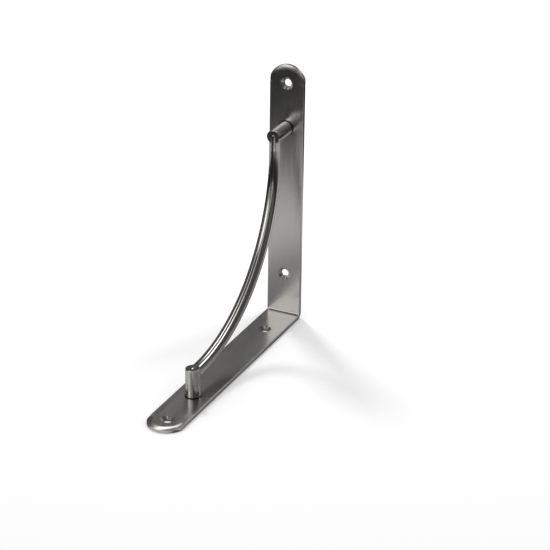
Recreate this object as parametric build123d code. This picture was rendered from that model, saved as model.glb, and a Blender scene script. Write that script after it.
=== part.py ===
from build123d import *

import math
import os

# Shelf bracket: one strap bent to a right angle, a short round post on each
# arm, and a round rod that arches between the two posts.
#
# All sizes in mm. The lying arm rests on the plane z = 0 and runs along +X.
# The upright arm rises along +Z at the -X end. The width runs along Y, and
# the origin is under the middle of the lying arm.

# Strap
arm_reach = 200.0            # lying arm, outside of the corner to its tip
arm_height = 200.0           # upright arm, outside of the corner to its tip
strap_width = 27.0
strap_thickness = 3.0
bend_inside_radius = 1.6
tip_radius = 14.2            # arc that rounds each end of the strap
edge_rounding = 0.45         # small rounding left on the strap's long edges

# Roll-off: each tip thins gently towards its rounded end, on the inner face
roll_length = 4.5
roll_depth = 1.0

# Screw holes, countersunk from the inner faces
screw_hole = 5.5
countersink = 9.6
countersink_angle = 90.0
hole_from_tip = 14.0
hole_from_corner = 35.0

# Posts
post_diameter = 10.6
post_length = 21.6           # from the strap's inner face to the free end
post_end_rounding = 0.6
lower_post_reach = 149.0     # post axis from the outside of the corner
upper_post_height = 152.0

# Arched rod
rod_diameter = 8.8
rod_end_straight = 7.5       # straight run between the arc and the nearer post's axis
rod_proud = 0.3              # the rod's outer side stands this far past the post ends

corner_x = -arm_reach / 2
rod_axis = strap_thickness + post_length + rod_proud - rod_diameter / 2
rod_bend_radius = min(lower_post_reach, upper_post_height) - rod_axis - rod_end_straight
tip_setback = tip_radius - math.sqrt(tip_radius**2 - (strap_width / 2) ** 2)
countersink_depth = (countersink - screw_hole) / 2 / math.tan(math.radians(countersink_angle / 2))


def strap_profile():
    """The bent strap seen from its side: two straight arms and one bend."""
    outline = Polyline(
        (corner_x, 0),
        (corner_x + arm_reach, 0),
        (corner_x + arm_reach, strap_thickness),
        (corner_x + strap_thickness, strap_thickness),
        (corner_x + strap_thickness, arm_height),
        (corner_x, arm_height),
        close=True,
    )
    face = Plane.XZ * make_face(outline)
    inside = face.vertices().sort_by_distance((corner_x + strap_thickness, 0, strap_thickness))[0]
    face = fillet(inside, bend_inside_radius)
    outside = face.vertices().sort_by_distance((corner_x, 0, 0))[0]
    return fillet(outside, bend_inside_radius + strap_thickness)


def arm_outline(length):
    """Plan of one arm from its corner: parallel sides and an arc at the tip."""
    half = strap_width / 2
    sides = Polyline(
        (length - tip_setback, half),
        (0, half),
        (0, -half),
        (length - tip_setback, -half),
    )
    tip = ThreePointArc((length - tip_setback, -half), (length, 0), (length - tip_setback, half))
    return make_face(sides + tip)


def tip_roll_cutter():
    """Ring that thins a tip towards its arc, centred on that arc, top face at z = 0."""
    start = tip_radius - roll_length
    end = tip_radius + 1.0
    drop = roll_depth * ((end - start) / roll_length) ** 2
    middle = (start + end) / 2
    curve = ThreePointArc((start, 0.02), (middle, 0.02 - drop / 4), (end, 0.02 - drop))
    rest = Polyline((end, 0.02 - drop), (end, 2.0), (start, 2.0), (start, 0.02))
    return revolve(Plane.XZ * make_face(curve + rest), Axis.Z)


def countersunk_cutter():
    """Hole and countersink, its mouth at z = 0 and its tail pointing down."""
    hole = Cylinder(screw_hole / 2, 4 * strap_thickness)
    mouth = Cone(screw_hole / 2, countersink / 2, countersink_depth, align=(Align.CENTER, Align.CENTER, Align.MAX))
    lead = Cylinder(countersink / 2, strap_thickness, align=(Align.CENTER, Align.CENTER, Align.MIN))
    return hole + mouth + lead


def soften_edges(body):
    """Round the strap's long edges lightly, on both sides and both faces."""
    half = strap_width / 2
    long_edges = [
        edge
        for edge in body.edges()
        if abs(abs(edge.center().Y) - half) < 0.01 and edge.bounding_box().size.Y < 0.01
    ]
    return fillet(long_edges, edge_rounding)


def on_lying_arm(reach):
    """Frame on the lying arm's inner face: local +Z points away from the metal."""
    return Location((corner_x + reach, 0, strap_thickness))


def on_upright_arm(height):
    """Frame on the upright arm's inner face: local +Z points away from the metal."""
    return Location(Plane((corner_x + strap_thickness, 0, height), x_dir=(0, 0, 1), z_dir=(1, 0, 0)))


def make_strap():
    """The bent strap with rounded, rolled-off tips and four countersunk holes."""
    body = extrude(strap_profile(), strap_width / 2, both=True)
    lying_plan = extrude(Location((corner_x, 0, -1)) * arm_outline(arm_reach), arm_height + 2)
    upright_plane = Plane((corner_x - 1, 0, 0), x_dir=(0, 0, 1), z_dir=(1, 0, 0))
    upright_plan = extrude(upright_plane * arm_outline(arm_height), arm_reach + 2)
    body = soften_edges(body & lying_plan & upright_plan)
    roll = tip_roll_cutter()
    body -= on_lying_arm(arm_reach - tip_radius) * half_ring(roll)
    body -= on_upright_arm(arm_height - tip_radius) * half_ring(roll)
    for reach in (hole_from_corner, arm_reach - hole_from_tip):
        body -= on_lying_arm(reach) * countersunk_cutter()
    for height in (hole_from_corner, arm_height - hole_from_tip):
        body -= on_upright_arm(height) * countersunk_cutter()
    return body.solid()


def half_ring(ring):
    """The half of a ring that lies towards the tip, along local +X."""
    keep = Box(
        3 * strap_width,
        3 * strap_width,
        4 * strap_thickness,
        align=(Align.MIN, Align.CENTER, Align.CENTER),
    )
    return ring & keep


def make_rod():
    """Round rod: a quarter arc between two short straights, with domed ends."""
    path = FilletPolyline(
        (corner_x + rod_axis, 0, upper_post_height),
        (corner_x + rod_axis, 0, rod_axis),
        (corner_x + lower_post_reach, 0, rod_axis),
        radius=rod_bend_radius,
    )
    section = Plane(origin=path @ 0, z_dir=path % 0) * Circle(rod_diameter / 2)
    rod = sweep(section, path=path)
    for end in (path @ 0, path @ 1):
        rod += Location(end) * Sphere(rod_diameter / 2)
    return rod.solid()


def make_post(place, rod):
    """A post standing on an arm, notched at its free end to seat the rod."""
    post = Cylinder(post_diameter / 2, post_length, align=(Align.CENTER, Align.CENTER, Align.MIN))
    free_end = post.faces().sort_by(Axis.Z)[-1]
    post = fillet(free_end.edges(), post_end_rounding)
    return (place * post - rod).solid()


def write_parts():
    """Write one STEP file per piece."""
    os.makedirs("parts", exist_ok=True)
    rod = make_rod()
    pieces = {
        "strap": make_strap(),
        "upper_post": make_post(on_upright_arm(upper_post_height), rod),
        "lower_post": make_post(on_lying_arm(lower_post_reach), rod),
        "arched_rod": rod,
    }
    for name, piece in pieces.items():
        piece.label = name
        export_step(piece, f"parts/{name}.step")


if __name__ == "__main__":
    write_parts()
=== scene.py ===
"""Finishes, studio and camera for a brushed steel shelf bracket.

The bracket itself comes packed: a bent strap, two round posts and an arched
rod. This add-on gives each of them its steel finish, paints contact shade as a
dark line where each post meets the strap, and sets up a white floor, soft
lights and a camera.
"""

import math

import bmesh
import bpy
from mathutils import Matrix, Vector


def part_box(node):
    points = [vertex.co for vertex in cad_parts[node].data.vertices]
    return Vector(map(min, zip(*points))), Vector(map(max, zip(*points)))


bl_info = {
    "name": "Shelf Bracket Finishes",
    "version": (1, 0, 0),
    "blender": (4, 5, 0),
    "location": "3D View > Sidebar > Shelf Bracket",
    "description": "Dresses a brushed steel shelf bracket and sets up its studio",
    "category": "Object",
}

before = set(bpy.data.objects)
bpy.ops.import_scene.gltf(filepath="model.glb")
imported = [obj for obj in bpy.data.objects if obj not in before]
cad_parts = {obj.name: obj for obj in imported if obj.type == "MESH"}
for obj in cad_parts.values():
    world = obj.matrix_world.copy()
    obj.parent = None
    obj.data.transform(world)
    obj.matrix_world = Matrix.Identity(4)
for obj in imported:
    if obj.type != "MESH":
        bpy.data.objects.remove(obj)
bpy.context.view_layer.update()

STRAP_LOW, STRAP_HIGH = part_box("strap")
LOWER_POST_LOW, LOWER_POST_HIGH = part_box("lower_post")
UPPER_POST_LOW, UPPER_POST_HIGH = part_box("upper_post")

CORNER_X = STRAP_LOW[0]
POST_RADIUS = (LOWER_POST_HIGH[0] - LOWER_POST_LOW[0]) / 2
LOWER_POST_X = (LOWER_POST_HIGH[0] + LOWER_POST_LOW[0]) / 2
UPPER_POST_Z = (UPPER_POST_HIGH[2] + UPPER_POST_LOW[2]) / 2
MILLIMETRE = 0.001


# Shader maths ---------------------------------------------------------------


class Shade:
    """A socket in a node tree that can be added, subtracted and multiplied."""

    def __init__(self, tree, socket):
        self.tree = tree
        self.socket = socket

    def _math(self, operation, *values):
        settings = {"operation": operation}
        return add_node(self.tree, "ShaderNodeMath", settings, dict(enumerate(values)))

    def __add__(self, other):
        return self._math("ADD", self, other)

    __radd__ = __add__

    def __sub__(self, other):
        return self._math("SUBTRACT", self, other)

    def __rsub__(self, other):
        return self._math("SUBTRACT", other, self)

    def __mul__(self, other):
        return self._math("MULTIPLY", self, other)

    __rmul__ = __mul__

    def absolute(self):
        return self._math("ABSOLUTE", self)

    def root(self):
        return self._math("SQRT", self)


def add_node(tree, kind, settings=None, inputs=None, output=0):
    """Adds one node: its settings first, then the values or links of its sockets."""
    node = tree.nodes.new(kind)
    for name, value in (settings or {}).items():
        if name == "stops":
            set_stops(node.color_ramp, value)
        else:
            setattr(node, name, value)
    for key, value in (inputs or {}).items():
        socket = node.inputs[key]
        if isinstance(value, Shade):
            tree.links.new(value.socket, socket)
        else:
            socket.default_value = value
    return Shade(tree, node.outputs[output]) if node.outputs else None


def set_stops(ramp, stops):
    """Gives a colour ramp its stops, as (position, grey) pairs."""
    while len(ramp.elements) < len(stops):
        ramp.elements.new(1.0)
    for element, (position, grey) in zip(ramp.elements, stops):
        element.position = position
        element.color = (grey, grey, grey, 1.0)


def blank_material(name):
    """A material with an empty node tree."""
    material = bpy.data.materials.new(name)
    material.use_nodes = True
    material.node_tree.nodes.clear()
    return material, material.node_tree


def split_place(tree, centre=(0.0, 0.0, 0.0)):
    """Object coordinates, measured from a centre, as x, y and z."""
    place = add_node(tree, "ShaderNodeTexCoord", output=3)
    inputs = {0: place, 1: centre}
    moved = add_node(tree, "ShaderNodeVectorMath", {"operation": "SUBTRACT"}, inputs)
    xyz = tree.nodes.new("ShaderNodeSeparateXYZ")
    tree.links.new(moved.socket, xyz.inputs[0])
    return [Shade(tree, output) for output in xyz.outputs]


def noise_at(tree, x, y, z, detail=3.0, roughness=0.6):
    """Fractal noise, 0 to 1, at a place given by three shades or numbers."""
    place = add_node(tree, "ShaderNodeCombineXYZ", None, {0: x, 1: y, 2: z})
    return add_node(
        tree,
        "ShaderNodeTexNoise",
        None,
        {"Vector": place, "Scale": 1.0, "Detail": detail, "Roughness": roughness},
    )


def band(tree, value, centre, half_width, softness):
    """1 where value lies within half_width of centre, falling softly to 0."""
    away = (value - centre).absolute()
    return add_node(
        tree,
        "ShaderNodeMapRange",
        {"interpolation_type": "SMOOTHSTEP"},
        {
            "Value": away,
            "From Min": half_width,
            "From Max": half_width + softness,
            "To Min": 1.0,
            "To Max": 0.0,
        },
    )


def blend_colours(tree, factor, first, second):
    """Mixes two colours by a factor."""
    return add_node(
        tree,
        "ShaderNodeMix",
        {"data_type": "RGBA"},
        {"Factor": factor, 6: first, 7: second},
        output=2,
    )


def finish_steel(tree, colour, roughness, height, bump_distance, lean=None):
    """Closes a steel material: a metallic surface with bump from a height."""
    inputs = {"Strength": 1.0, "Distance": bump_distance, "Height": height}
    if lean is not None:
        inputs["Normal"] = lean
    normal = add_node(tree, "ShaderNodeBump", None, inputs)
    shader = add_node(
        tree,
        "ShaderNodeBsdfPrincipled",
        None,
        {"Base Color": colour, "Metallic": 1.0, "Roughness": roughness, "Normal": normal},
    )
    add_node(tree, "ShaderNodeOutputMaterial", None, {"Surface": shader})


# Steel finishes -------------------------------------------------------------

# How often a finish changes, per metre: along a piece and across it
GRAIN_ALONG = 14.0
FINE_GRAIN_ALONG = 60.0
FINE_GRAIN_RATIO = 2.7
STRAP_CLOUDS = (26.0, 34.0)
GROOVES_ALONG = 20.0
GROOVES_ACROSS = 7000.0
POLISH_ACROSS = 900.0
POST_POLISH_ALONG = 40.0
POST_SMEARS = (150.0, 220.0)
ROD_POLISH_ALONG = 6.0
ROD_CLOUDS = (60.0, 160.0)

# Half width and softness of the fine lines
# The two root lines are painted contact shade round each post's root
PAINTED_ROOT_SHADE_ON_STRAP = (0.3 * MILLIMETRE, 0.7 * MILLIMETRE)
PAINTED_ROOT_SHADE_ON_POST = (0.35 * MILLIMETRE, 0.8 * MILLIMETRE)
STRAP_FACE = (0.2 * MILLIMETRE, 0.3 * MILLIMETRE)
SEAM_LINE = (0.12 * MILLIMETRE, 0.45 * MILLIMETRE)
WORKED_BAND = (0.0, 7.0 * MILLIMETRE)

# Strength and colour of the painted contact shade at the posts' roots
PAINTED_ROOT_SHADE_STRENGTH = 0.9
PAINTED_ROOT_SHADE_TONE = 0.05


def shaded(colour, factor):
    """A colour made lighter or darker by a factor."""
    return tuple(channel * factor for channel in colour[:3]) + (1.0,)


def painted_root_shade_ring(tree, across, along, above):
    """Painted contact shade: a dark line on the strap round the root of a post."""
    reach = (across * across + along * along).root()
    ring = band(tree, reach, POST_RADIUS, *PAINTED_ROOT_SHADE_ON_STRAP)
    return ring * band(tree, above, 0.0, *STRAP_FACE)


def groove_lean(tree, x, y, z, spread):
    """The normal leant to either side by grooves too fine to be seen one by one."""
    grooves = noise_at(
        tree, x * GROOVES_ALONG, y * GROOVES_ACROSS, z * GROOVES_ALONG, detail=2.0
    )
    sideways = add_node(tree, "ShaderNodeCombineXYZ", None, {1: spread * (grooves - 0.5)})
    facing = add_node(tree, "ShaderNodeNewGeometry", output="Normal")
    leant = add_node(tree, "ShaderNodeVectorMath", None, {0: facing, 1: sideways})
    return add_node(tree, "ShaderNodeVectorMath", {"operation": "NORMALIZE"}, {0: leant})


def brushed_strap_material(settings):
    """Satin steel brushed along the strap, with faint clouding from handling."""
    material, tree = blank_material("brushed_strap")
    x, y, z = split_place(tree)
    across = y * settings.grain_density
    fine_across = y * settings.grain_density * FINE_GRAIN_RATIO
    cloud_along, cloud_across = STRAP_CLOUDS
    grain = noise_at(
        tree, x * GRAIN_ALONG, across, z * GRAIN_ALONG, detail=4.0, roughness=0.7
    )
    fine = noise_at(tree, x * FINE_GRAIN_ALONG, fine_across, z * FINE_GRAIN_ALONG, detail=2.0)
    clouds = noise_at(tree, x * cloud_along, y * cloud_across, z * cloud_along, detail=3.0)
    tone = 0.6 * grain + 0.4 * clouds
    steel = blend_colours(tree, tone, shaded(settings.steel, 0.88), shaded(settings.steel, 1.08))
    upper_root_shade = painted_root_shade_ring(tree, y, z - UPPER_POST_Z, x - UPPER_POST_LOW[0])
    lower_root_shade = painted_root_shade_ring(tree, y, x - LOWER_POST_X, z - LOWER_POST_LOW[2])
    # Painted contact shade round the roots of both posts
    painted_root_shades = PAINTED_ROOT_SHADE_STRENGTH * (upper_root_shade + lower_root_shade)
    colour = blend_colours(tree, painted_root_shades, steel, shaded(settings.steel, PAINTED_ROOT_SHADE_TONE))
    roughness = settings.strap_roughness + 0.08 * (grain - 0.5) + 0.05 * (clouds - 0.5)
    lean = groove_lean(tree, x, y, z, settings.groove_spread)
    finish_steel(tree, colour, roughness, 0.6 * grain + 0.4 * fine, settings.grain_depth, lean)
    return material


def post_material(settings, name, axis, centre, seam, root):
    """Polished round bar: fine lines along its axis, a faint ring and painted contact shade at
    its root.
    """
    material, tree = blank_material(name)
    along, across, other = axis_shades(tree, axis, centre)
    smear_along, smear_across = POST_SMEARS
    lines = noise_at(
        tree, along * POST_POLISH_ALONG, across * POLISH_ACROSS, other * POLISH_ACROSS
    )
    smear = noise_at(
        tree, along * smear_along, across * smear_across, other * smear_across, detail=2.0
    )
    ring = band(tree, along, seam, *SEAM_LINE)
    worked = band(tree, along, seam, *WORKED_BAND)
    # Painted contact shade where the post meets the strap
    root_shade_mask = band(tree, along, root, *PAINTED_ROOT_SHADE_ON_POST)
    tone = 0.5 + 2.2 * (lines - 0.5) + 0.8 * (smear - 0.5)
    steel = blend_colours(tree, tone, shaded(settings.steel, 0.72), shaded(settings.steel, 1.08))
    ringed = blend_colours(tree, 0.5 * ring, steel, shaded(settings.steel, 0.45))
    root_shade_colour = shaded(settings.steel, PAINTED_ROOT_SHADE_TONE)
    colour = blend_colours(tree, PAINTED_ROOT_SHADE_STRENGTH * root_shade_mask, ringed, root_shade_colour)
    roughness = settings.post_roughness + 0.05 * (smear - 0.5) + 0.04 * worked + 0.2 * root_shade_mask
    finish_steel(tree, colour, roughness, lines, settings.polish_depth)
    return material


def axis_shades(tree, axis, centre):
    """The place along an axis and the two places across it."""
    x, y, z = split_place(tree, centre)
    return (x, y, z) if axis == "X" else (z, y, x)


def rod_material(settings):
    """Polished round bar bent to an arc: fine lines that follow the arc."""
    centre_x = CORNER_X + settings.arc_centre
    material, tree = blank_material("polished_rod")
    x, y, z = split_place(tree, (centre_x, 0.0, settings.arc_centre))
    reach = (x * x + z * z).root()
    travel = x * ROD_POLISH_ALONG - z * ROD_POLISH_ALONG
    cloud_along, cloud_across = ROD_CLOUDS
    lines = noise_at(tree, reach * POLISH_ACROSS, y * POLISH_ACROSS, travel)
    clouds = noise_at(tree, x * cloud_along, y * cloud_across, z * cloud_along, detail=2.0)
    tone = 0.5 * lines + 0.5 * clouds
    colour = blend_colours(tree, tone, shaded(settings.steel, 0.92), shaded(settings.steel, 1.08))
    roughness = settings.rod_roughness + 0.06 * (lines - 0.5) + 0.05 * (clouds - 0.5)
    finish_steel(tree, colour, roughness, lines, settings.polish_depth)
    return material


def set_material(node, material):
    """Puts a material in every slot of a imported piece."""
    slots = node.material_slots
    if not slots:
        node.data.materials.append(material)
    for place in slots:
        place.link = "OBJECT"
        place.material = material


# Settings -------------------------------------------------------------------


class BracketFinish(bpy.types.PropertyGroup):
    """Colours and finishes of the steel."""

    steel: bpy.props.FloatVectorProperty(
        name="Steel",
        description="Colour of the bare steel",
        subtype="COLOR",
        size=4,
        min=0.0,
        max=1.0,
        default=(0.60, 0.59, 0.57, 1.0),
    )
    strap_roughness: bpy.props.FloatProperty(
        name="Strap Roughness",
        description="How dull the brushed strap is",
        subtype="FACTOR",
        min=0.0,
        max=1.0,
        default=0.24,
    )
    post_roughness: bpy.props.FloatProperty(
        name="Post Roughness",
        description="How dull the round posts are",
        subtype="FACTOR",
        min=0.0,
        max=1.0,
        default=0.17,
    )
    rod_roughness: bpy.props.FloatProperty(
        name="Rod Roughness",
        description="How dull the arched rod is",
        subtype="FACTOR",
        min=0.0,
        max=1.0,
        default=0.14,
    )
    grain_density: bpy.props.FloatProperty(
        name="Grain Density",
        description="Brushing lines per metre across the strap",
        min=1.0,
        default=900.0,
    )
    grain_depth: bpy.props.FloatProperty(
        name="Grain Depth",
        description="Depth of the brushing lines",
        subtype="DISTANCE",
        unit="LENGTH",
        default=0.00001,
        precision=6,
    )
    groove_spread: bpy.props.FloatProperty(
        name="Groove Spread",
        description="How far the finest grooves smear reflections across the strap",
        min=0.0,
        default=0.35,
    )
    polish_depth: bpy.props.FloatProperty(
        name="Polish Depth",
        description="Depth of the polishing lines on the round bars",
        subtype="DISTANCE",
        unit="LENGTH",
        default=0.0000015,
        precision=7,
    )
    arc_centre: bpy.props.FloatProperty(
        name="Arc Centre",
        description="Distance of the rod's arc centre from both outer faces",
        subtype="DISTANCE",
        unit="LENGTH",
        default=0.1415,
    )
    seam_from_end: bpy.props.FloatProperty(
        name="Seam from End",
        description="Distance of the faint ring on each post from its free end",
        subtype="DISTANCE",
        unit="LENGTH",
        default=0.0115,
    )


class BracketStudio(bpy.types.PropertyGroup):
    """Floor, lights and camera."""

    floor_size: bpy.props.FloatProperty(
        name="Floor Size",
        description="Side of the square floor",
        subtype="DISTANCE",
        unit="LENGTH",
        default=12.0,
    )
    floor_colour: bpy.props.FloatVectorProperty(
        name="Floor",
        description="Colour of the floor",
        subtype="COLOR",
        size=4,
        min=0.0,
        max=1.0,
        default=(1.0, 1.0, 1.0, 1.0),
    )
    fill: bpy.props.FloatProperty(
        name="Fill",
        description="Even light from all round, on the floor",
        min=0.0,
        default=0.74,
    )
    key_radiance: bpy.props.FloatProperty(
        name="Key Light",
        description="Brightness of the key lamp's surface",
        min=0.0,
        default=46.0,
    )
    second_radiance: bpy.props.FloatProperty(
        name="Second Light",
        description="Brightness of the second lamp's surface",
        min=0.0,
        default=15.0,
    )
    camera_azimuth: bpy.props.FloatProperty(
        name="Camera Azimuth",
        description="Camera direction from +X towards +Y",
        subtype="ANGLE",
        default=math.radians(25.36),
    )
    camera_elevation: bpy.props.FloatProperty(
        name="Camera Elevation",
        description="Camera height above the horizon",
        subtype="ANGLE",
        default=math.radians(25.50),
    )
    camera_roll: bpy.props.FloatProperty(
        name="Camera Roll",
        description="Turn of the camera about its own axis",
        subtype="ANGLE",
        default=math.radians(0.78),
    )
    camera_distance: bpy.props.FloatProperty(
        name="Camera Distance",
        description="Distance of the camera from the point it looks at",
        subtype="DISTANCE",
        unit="LENGTH",
        default=1.3815,
    )
    camera_target: bpy.props.FloatVectorProperty(
        name="Camera Target",
        description="Point that the camera looks at",
        subtype="TRANSLATION",
        unit="LENGTH",
        default=(-0.0815, 0.0, 0.0404),
    )
    lens: bpy.props.FloatProperty(
        name="Lens",
        description="Focal length on a 36 mm sensor, in millimetres",
        subtype="DISTANCE_CAMERA",
        default=121.5,
    )


# Studio ---------------------------------------------------------------------

# What polished steel sees of the room: grey against the height of the view
ROOM_STOPS = [(0.0, 0.16), (0.2, 0.10), (0.4, 0.075), (0.9, 0.08)]
# Brightness of the two ceiling lamps from the back of the room to the front
LEFT_LAMP_STOPS = [
    (0.0, 0.0),
    (0.12, 0.0),
    (0.18, 2.6),
    (0.28, 3.0),
    (0.60, 0.8),
    (1.0, 0.5),
]
RIGHT_LAMP_STOPS = [
    (0.0, 0.0),
    (0.07, 0.8),
    (0.13, 2.8),
    (0.28, 3.0),
    (0.60, 0.8),
    (1.0, 0.5),
]
# Those long lamps as the steel sees them: the direction they are measured
# along, then the middle and half width of the bright band, as cosines
CEILING_LAMPS = (
    ((0.307, 0.936, 0.171), -0.33, 0.07, LEFT_LAMP_STOPS),
    ((0.068, 0.997, 0.040), 0.26, 0.08, RIGHT_LAMP_STOPS),
)
LAMP_SOFTNESS = 0.05
# A window in front: azimuth, elevation, radius, softness (degrees), radiance
WINDOW = (-25.0, 26.0, 12.0, 8.0, 1.45)
# What polished steel sees of the floor: grey against distance from a point
# measured from the bracket's corner
POOL_PLACE = (0.05, 0.10)
POOL_STOPS = [
    (0.0, 0.25),
    (0.125, 0.26),
    (0.150, 0.36),
    (0.175, 0.64),
    (0.210, 0.72),
    (0.263, 0.62),
    (0.300, 0.38),
    (0.345, 0.10),
    (0.42, 0.02),
]
# Two lesser pools: x and y from the corner, radius, softness, grey
SIDE_POOLS = (
    (0.31, -0.01, 0.05, 0.05, 1.1),
    (0.06, -0.30, 0.10, 0.08, 0.55),
)
# Painted contact shadow in the floor's glow beside the strap where it stands on it, which the
# strap's sides mirror
CONTACT_SHADOW_DARKNESS = 0.85
CONTACT_SHADOW_REACH = 0.4 * MILLIMETRE
CONTACT_SHADOW_SOFTNESS = 1.2 * MILLIMETRE
TIP_SOFTNESS = 4.0 * MILLIMETRE
# The two lamps that light the floor: azimuth and elevation in degrees,
# distance and side in metres
LAMP_DISTANCE = 1.3
KEY_LAMP = (224.5, 53, 0.18)
SECOND_LAMP = (157, 56, 0.20)


def direction(azimuth, elevation):
    """Unit vector from the origin; azimuth from +X towards +Y, both in radians."""
    return Vector(
        (
            math.cos(azimuth) * math.cos(elevation),
            math.sin(azimuth) * math.cos(elevation),
            math.sin(elevation),
        )
    )


def floor_material(settings):
    """White floor that reflections see as a pool of light round the bracket, with a painted
    contact shadow beside the lying arm.
    """
    material, tree = blank_material("floor_white")
    x, y, z = split_place(tree, (CORNER_X, 0.0, 0.0))
    pool_x = x - POOL_PLACE[0]
    pool_y = y - POOL_PLACE[1]
    distance = (pool_x * pool_x + pool_y * pool_y).root()
    pool = add_node(
        tree,
        "ShaderNodeValToRGB",
        {"stops": POOL_STOPS},
        {0: distance},
    )
    white = add_node(tree, "ShaderNodeBsdfDiffuse", None, {"Color": settings.floor_colour})
    for place_x, place_y, radius, softness, grey in SIDE_POOLS:
        side_x = x - place_x
        side_y = y - place_y
        reach = (side_x * side_x + side_y * side_y).root()
        pool = pool + grey * band(tree, reach, 0.0, radius, softness)
    half_arm = (STRAP_HIGH[0] - STRAP_LOW[0]) / 2
    # Painted contact shadow beside the lying arm, seen only in reflections
    beside = band(tree, y, 0.0, STRAP_HIGH[1] + CONTACT_SHADOW_REACH, CONTACT_SHADOW_SOFTNESS)
    along = band(tree, x, half_arm, half_arm - TIP_SOFTNESS, TIP_SOFTNESS)
    painted_contact_shadow = 1 - CONTACT_SHADOW_DARKNESS * beside * along
    glow = add_node(tree, "ShaderNodeEmission", None, {"Color": pool * painted_contact_shadow, "Strength": 1.0})
    glossy_ray = add_node(tree, "ShaderNodeLightPath", output="Is Glossy Ray")
    surface = add_node(tree, "ShaderNodeMixShader", None, {0: glossy_ray, 1: white, 2: glow})
    add_node(tree, "ShaderNodeOutputMaterial", None, {"Surface": surface})
    return material


def add_floor(settings):
    """A plain white floor under the bracket."""
    mesh = bpy.data.meshes.new("floor")
    shape = bmesh.new()
    bmesh.ops.create_grid(shape, x_segments=1, y_segments=1, size=settings.floor_size / 2)
    shape.to_mesh(mesh)
    shape.free()
    floor = bpy.data.objects.new("floor", mesh)
    bpy.context.scene.collection.objects.link(floor)
    mesh.materials.append(floor_material(settings))


def cosine_to(tree, view, towards):
    """Cosine between the view and a direction."""
    return add_node(
        tree,
        "ShaderNodeVectorMath",
        {"operation": "DOT_PRODUCT"},
        {0: view, 1: towards},
        output="Value",
    )


def lamp_patch(tree, view, azimuth, elevation, radius, softness, radiance):
    """The reflection of one lamp: a round patch in a direction, given in degrees."""
    towards = direction(math.radians(azimuth), math.radians(elevation))
    facing = cosine_to(tree, view, tuple(towards))
    inner = math.cos(math.radians(radius))
    outer = math.cos(math.radians(radius + softness))
    return add_node(
        tree,
        "ShaderNodeMapRange",
        {"interpolation_type": "SMOOTHSTEP"},
        {
            "Value": facing,
            "From Min": outer,
            "From Max": inner,
            "To Min": 0.0,
            "To Max": radiance,
        },
    )


def background(tree, colour, strength):
    """One world background."""
    return add_node(tree, "ShaderNodeBackground", None, {"Color": colour, "Strength": strength})


def set_world(settings):
    """Even fill for the floor, plain white behind it, a dim room in reflections."""
    world = bpy.data.worlds.new("studio")
    bpy.context.scene.world = world
    world.use_nodes = True
    tree = world.node_tree
    tree.nodes.clear()
    view = add_node(tree, "ShaderNodeTexCoord", output=0)
    xyz = tree.nodes.new("ShaderNodeSeparateXYZ")
    tree.links.new(view.socket, xyz.inputs[0])
    room = add_node(
        tree,
        "ShaderNodeValToRGB",
        {"stops": ROOM_STOPS},
        {0: Shade(tree, xyz.outputs[2])},
    )
    depth = 0.5 + 0.5 * Shade(tree, xyz.outputs[0])
    reflected = room + lamp_patch(tree, view, *WINDOW)
    for across, middle, half_width, stops in CEILING_LAMPS:
        level = add_node(tree, "ShaderNodeValToRGB", {"stops": stops}, {0: depth})
        facing = cosine_to(tree, view, across)
        reflected = reflected + level * band(tree, facing, middle, half_width, LAMP_SOFTNESS)
    white = (1.0, 1.0, 1.0, 1.0)
    glossy_ray = add_node(tree, "ShaderNodeLightPath", output="Is Glossy Ray")
    camera_ray = add_node(tree, "ShaderNodeLightPath", output="Is Camera Ray")
    fill = background(tree, white, settings.fill)
    mirrored = background(tree, reflected, 1.0)
    backdrop = background(tree, white, 1.0)
    lit = add_node(tree, "ShaderNodeMixShader", None, {0: glossy_ray, 1: fill, 2: mirrored})
    seen = add_node(tree, "ShaderNodeMixShader", None, {0: camera_ray, 1: lit, 2: backdrop})
    add_node(tree, "ShaderNodeOutputWorld", None, {"Surface": seen})


def add_softbox(name, azimuth, elevation, side, radiance):
    """A square lamp that faces the bracket, given the brightness of its surface."""
    lamp = bpy.data.lights.new(name, "AREA")
    lamp.shape = "RECTANGLE"
    lamp.size = side
    lamp.size_y = side
    lamp.energy = radiance * math.pi * side * side
    holder = bpy.data.objects.new(name, lamp)
    away = direction(math.radians(azimuth), math.radians(elevation))
    holder.location = away * LAMP_DISTANCE
    holder.rotation_mode = "QUATERNION"
    holder.rotation_quaternion = (-away).to_track_quat("-Z", "Y")
    holder.visible_glossy = False
    bpy.context.scene.collection.objects.link(holder)


def add_camera(settings):
    """The camera, turned to its target."""
    lens = bpy.data.cameras.new("camera")
    lens.lens = settings.lens
    lens.sensor_width = 36.0
    camera = bpy.data.objects.new("camera", lens)
    away = direction(settings.camera_azimuth, settings.camera_elevation)
    place = Vector(settings.camera_target) + away * settings.camera_distance
    turn = (-away).to_track_quat("-Z", "Y").to_matrix().to_4x4()
    roll = Matrix.Rotation(settings.camera_roll, 4, "Z")
    camera.matrix_world = Matrix.Translation(place) @ turn @ roll
    bpy.context.scene.collection.objects.link(camera)
    bpy.context.scene.camera = camera


# Operators ------------------------------------------------------------------


class BRACKET_OT_strap(bpy.types.Operator):
    """Gives the bent strap its brushed finish"""

    bl_idname = "bracket.strap"
    bl_label = "Finish Strap"

    def execute(self, context):
        settings = context.scene.bracket_finish
        set_material(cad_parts["strap"], brushed_strap_material(settings))
        return {"FINISHED"}


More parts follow.
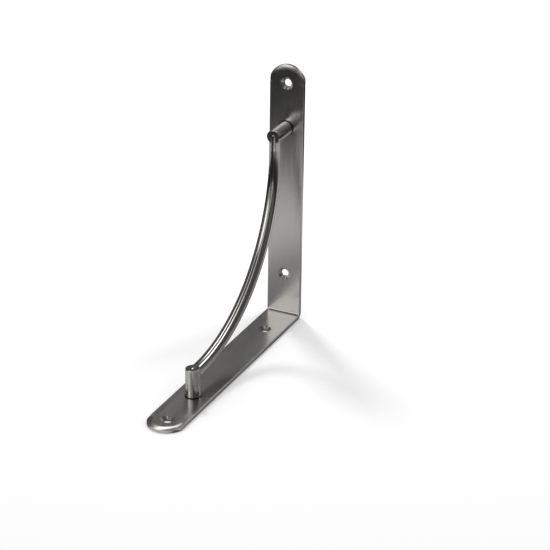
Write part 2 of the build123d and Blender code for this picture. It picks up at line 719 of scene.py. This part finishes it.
class BRACKET_OT_posts(bpy.types.Operator):
    """Gives both posts their polished finish"""

    bl_idname = "bracket.posts"
    bl_label = "Finish Posts"

    def execute(self, context):
        settings = context.scene.bracket_finish
        seam = -settings.seam_from_end
        upper_end = (UPPER_POST_HIGH[0], 0.0, UPPER_POST_Z)
        lower_end = (LOWER_POST_X, 0.0, LOWER_POST_HIGH[2])
        root = UPPER_POST_LOW[0] - UPPER_POST_HIGH[0]
        upper = post_material(settings, "polished_upper_post", "X", upper_end, seam, root)
        lower = post_material(settings, "polished_lower_post", "Z", lower_end, seam, root)
        set_material(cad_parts["upper_post"], upper)
        set_material(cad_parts["lower_post"], lower)
        return {"FINISHED"}


class BRACKET_OT_rod(bpy.types.Operator):
    """Gives the arched rod its polished finish"""

    bl_idname = "bracket.rod"
    bl_label = "Finish Rod"

    def execute(self, context):
        settings = context.scene.bracket_finish
        set_material(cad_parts["arched_rod"], rod_material(settings))
        return {"FINISHED"}


class BRACKET_OT_studio(bpy.types.Operator):
    """Sets up the floor, the lights and the camera"""

    bl_idname = "bracket.studio"
    bl_label = "Set Up Studio"

    def execute(self, context):
        settings = context.scene.bracket_studio
        add_floor(settings)
        set_world(settings)
        add_softbox("key_softbox", *KEY_LAMP, settings.key_radiance)
        add_softbox("second_softbox", *SECOND_LAMP, settings.second_radiance)
        add_camera(settings)
        context.scene.view_settings.view_transform = "Standard"
        return {"FINISHED"}


class BRACKET_PT_panel(bpy.types.Panel):
    """Lists the bracket's steps and settings"""

    bl_label = "Shelf Bracket"
    bl_idname = "BRACKET_PT_panel"
    bl_space_type = "VIEW_3D"
    bl_region_type = "UI"
    bl_category = "Shelf Bracket"

    def draw(self, context):
        for step in STEPS:
            self.layout.operator(step.bl_idname)
        for group in (context.scene.bracket_finish, context.scene.bracket_studio):
            for name in group.__annotations__:
                self.layout.prop(group, name)


STEPS = (BRACKET_OT_strap, BRACKET_OT_posts, BRACKET_OT_rod, BRACKET_OT_studio)
CLASSES = (BracketFinish, BracketStudio) + STEPS + (BRACKET_PT_panel,)


def register():
    for item in CLASSES:
        bpy.utils.register_class(item)
    bpy.types.Scene.bracket_finish = bpy.props.PointerProperty(type=BracketFinish)
    bpy.types.Scene.bracket_studio = bpy.props.PointerProperty(type=BracketStudio)


def unregister():
    del bpy.types.Scene.bracket_studio
    del bpy.types.Scene.bracket_finish
    for item in reversed(CLASSES):
        bpy.utils.unregister_class(item)


def main():
    register()
    bpy.ops.bracket.strap()
    bpy.ops.bracket.posts()
    bpy.ops.bracket.rod()
    bpy.ops.bracket.studio()


if __name__ == "__main__":
    main()
